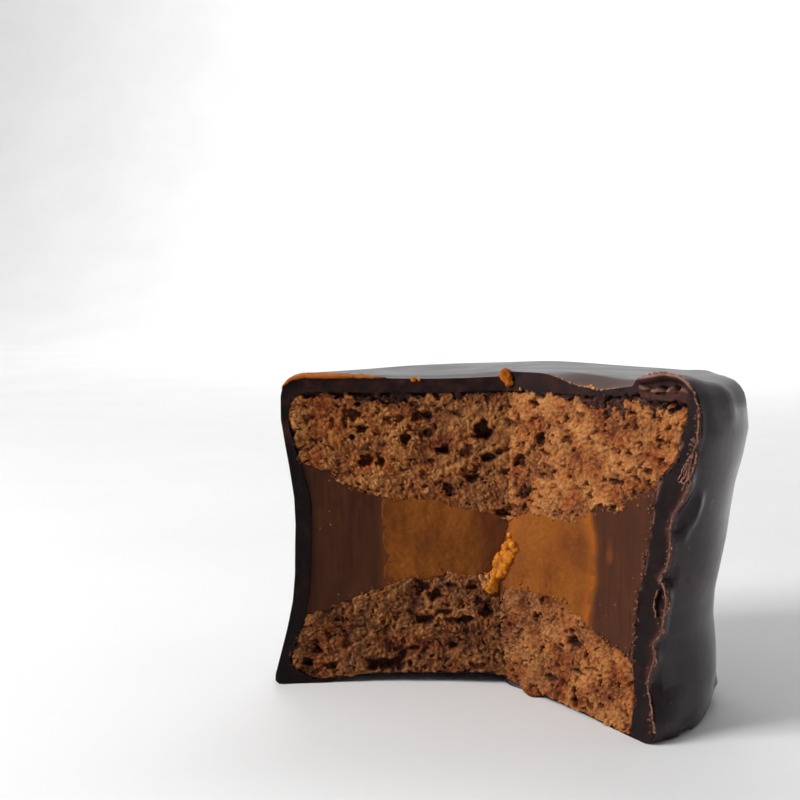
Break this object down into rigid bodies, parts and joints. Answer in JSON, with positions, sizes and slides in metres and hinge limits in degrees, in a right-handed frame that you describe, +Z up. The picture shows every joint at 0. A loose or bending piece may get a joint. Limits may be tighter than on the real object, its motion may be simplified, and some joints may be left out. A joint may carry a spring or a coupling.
{
  "type": "alfajor cookie",
  "caption": "Chocolate-covered alfajor with a third cut away, showing domed cookies around a dark milk-caramel filling with a spiced-caramel core.",
  "frame": {"origin": "the middle of the face it rests on, on the table", "axes": "+Z up out of the top; -Y towards the open, cut-away side; +X to the right as seen from that side"},
  "size_m": [0.061, 0.0521, 0.0427],
  "materials": {
    "dark_chocolate": "dark chocolate, satin to glossy outside, matte where it was cut",
    "cocoa_crumb": "open cocoa cookie crumb, matte, with pits",
    "milk_caramel": "dense dark milk caramel, satin, smeared by the knife",
    "spiced_caramel": "amber spiced-cookie caramel, satin and slightly grainy"
  },
  "bodies": {
    "root": {"coating": "dark_chocolate", "upper_cookie": "cocoa_crumb", "lower_cookie": "cocoa_crumb", "filling": "milk_caramel", "filling_core": "spiced_caramel"}
  },
  "joints": []
}
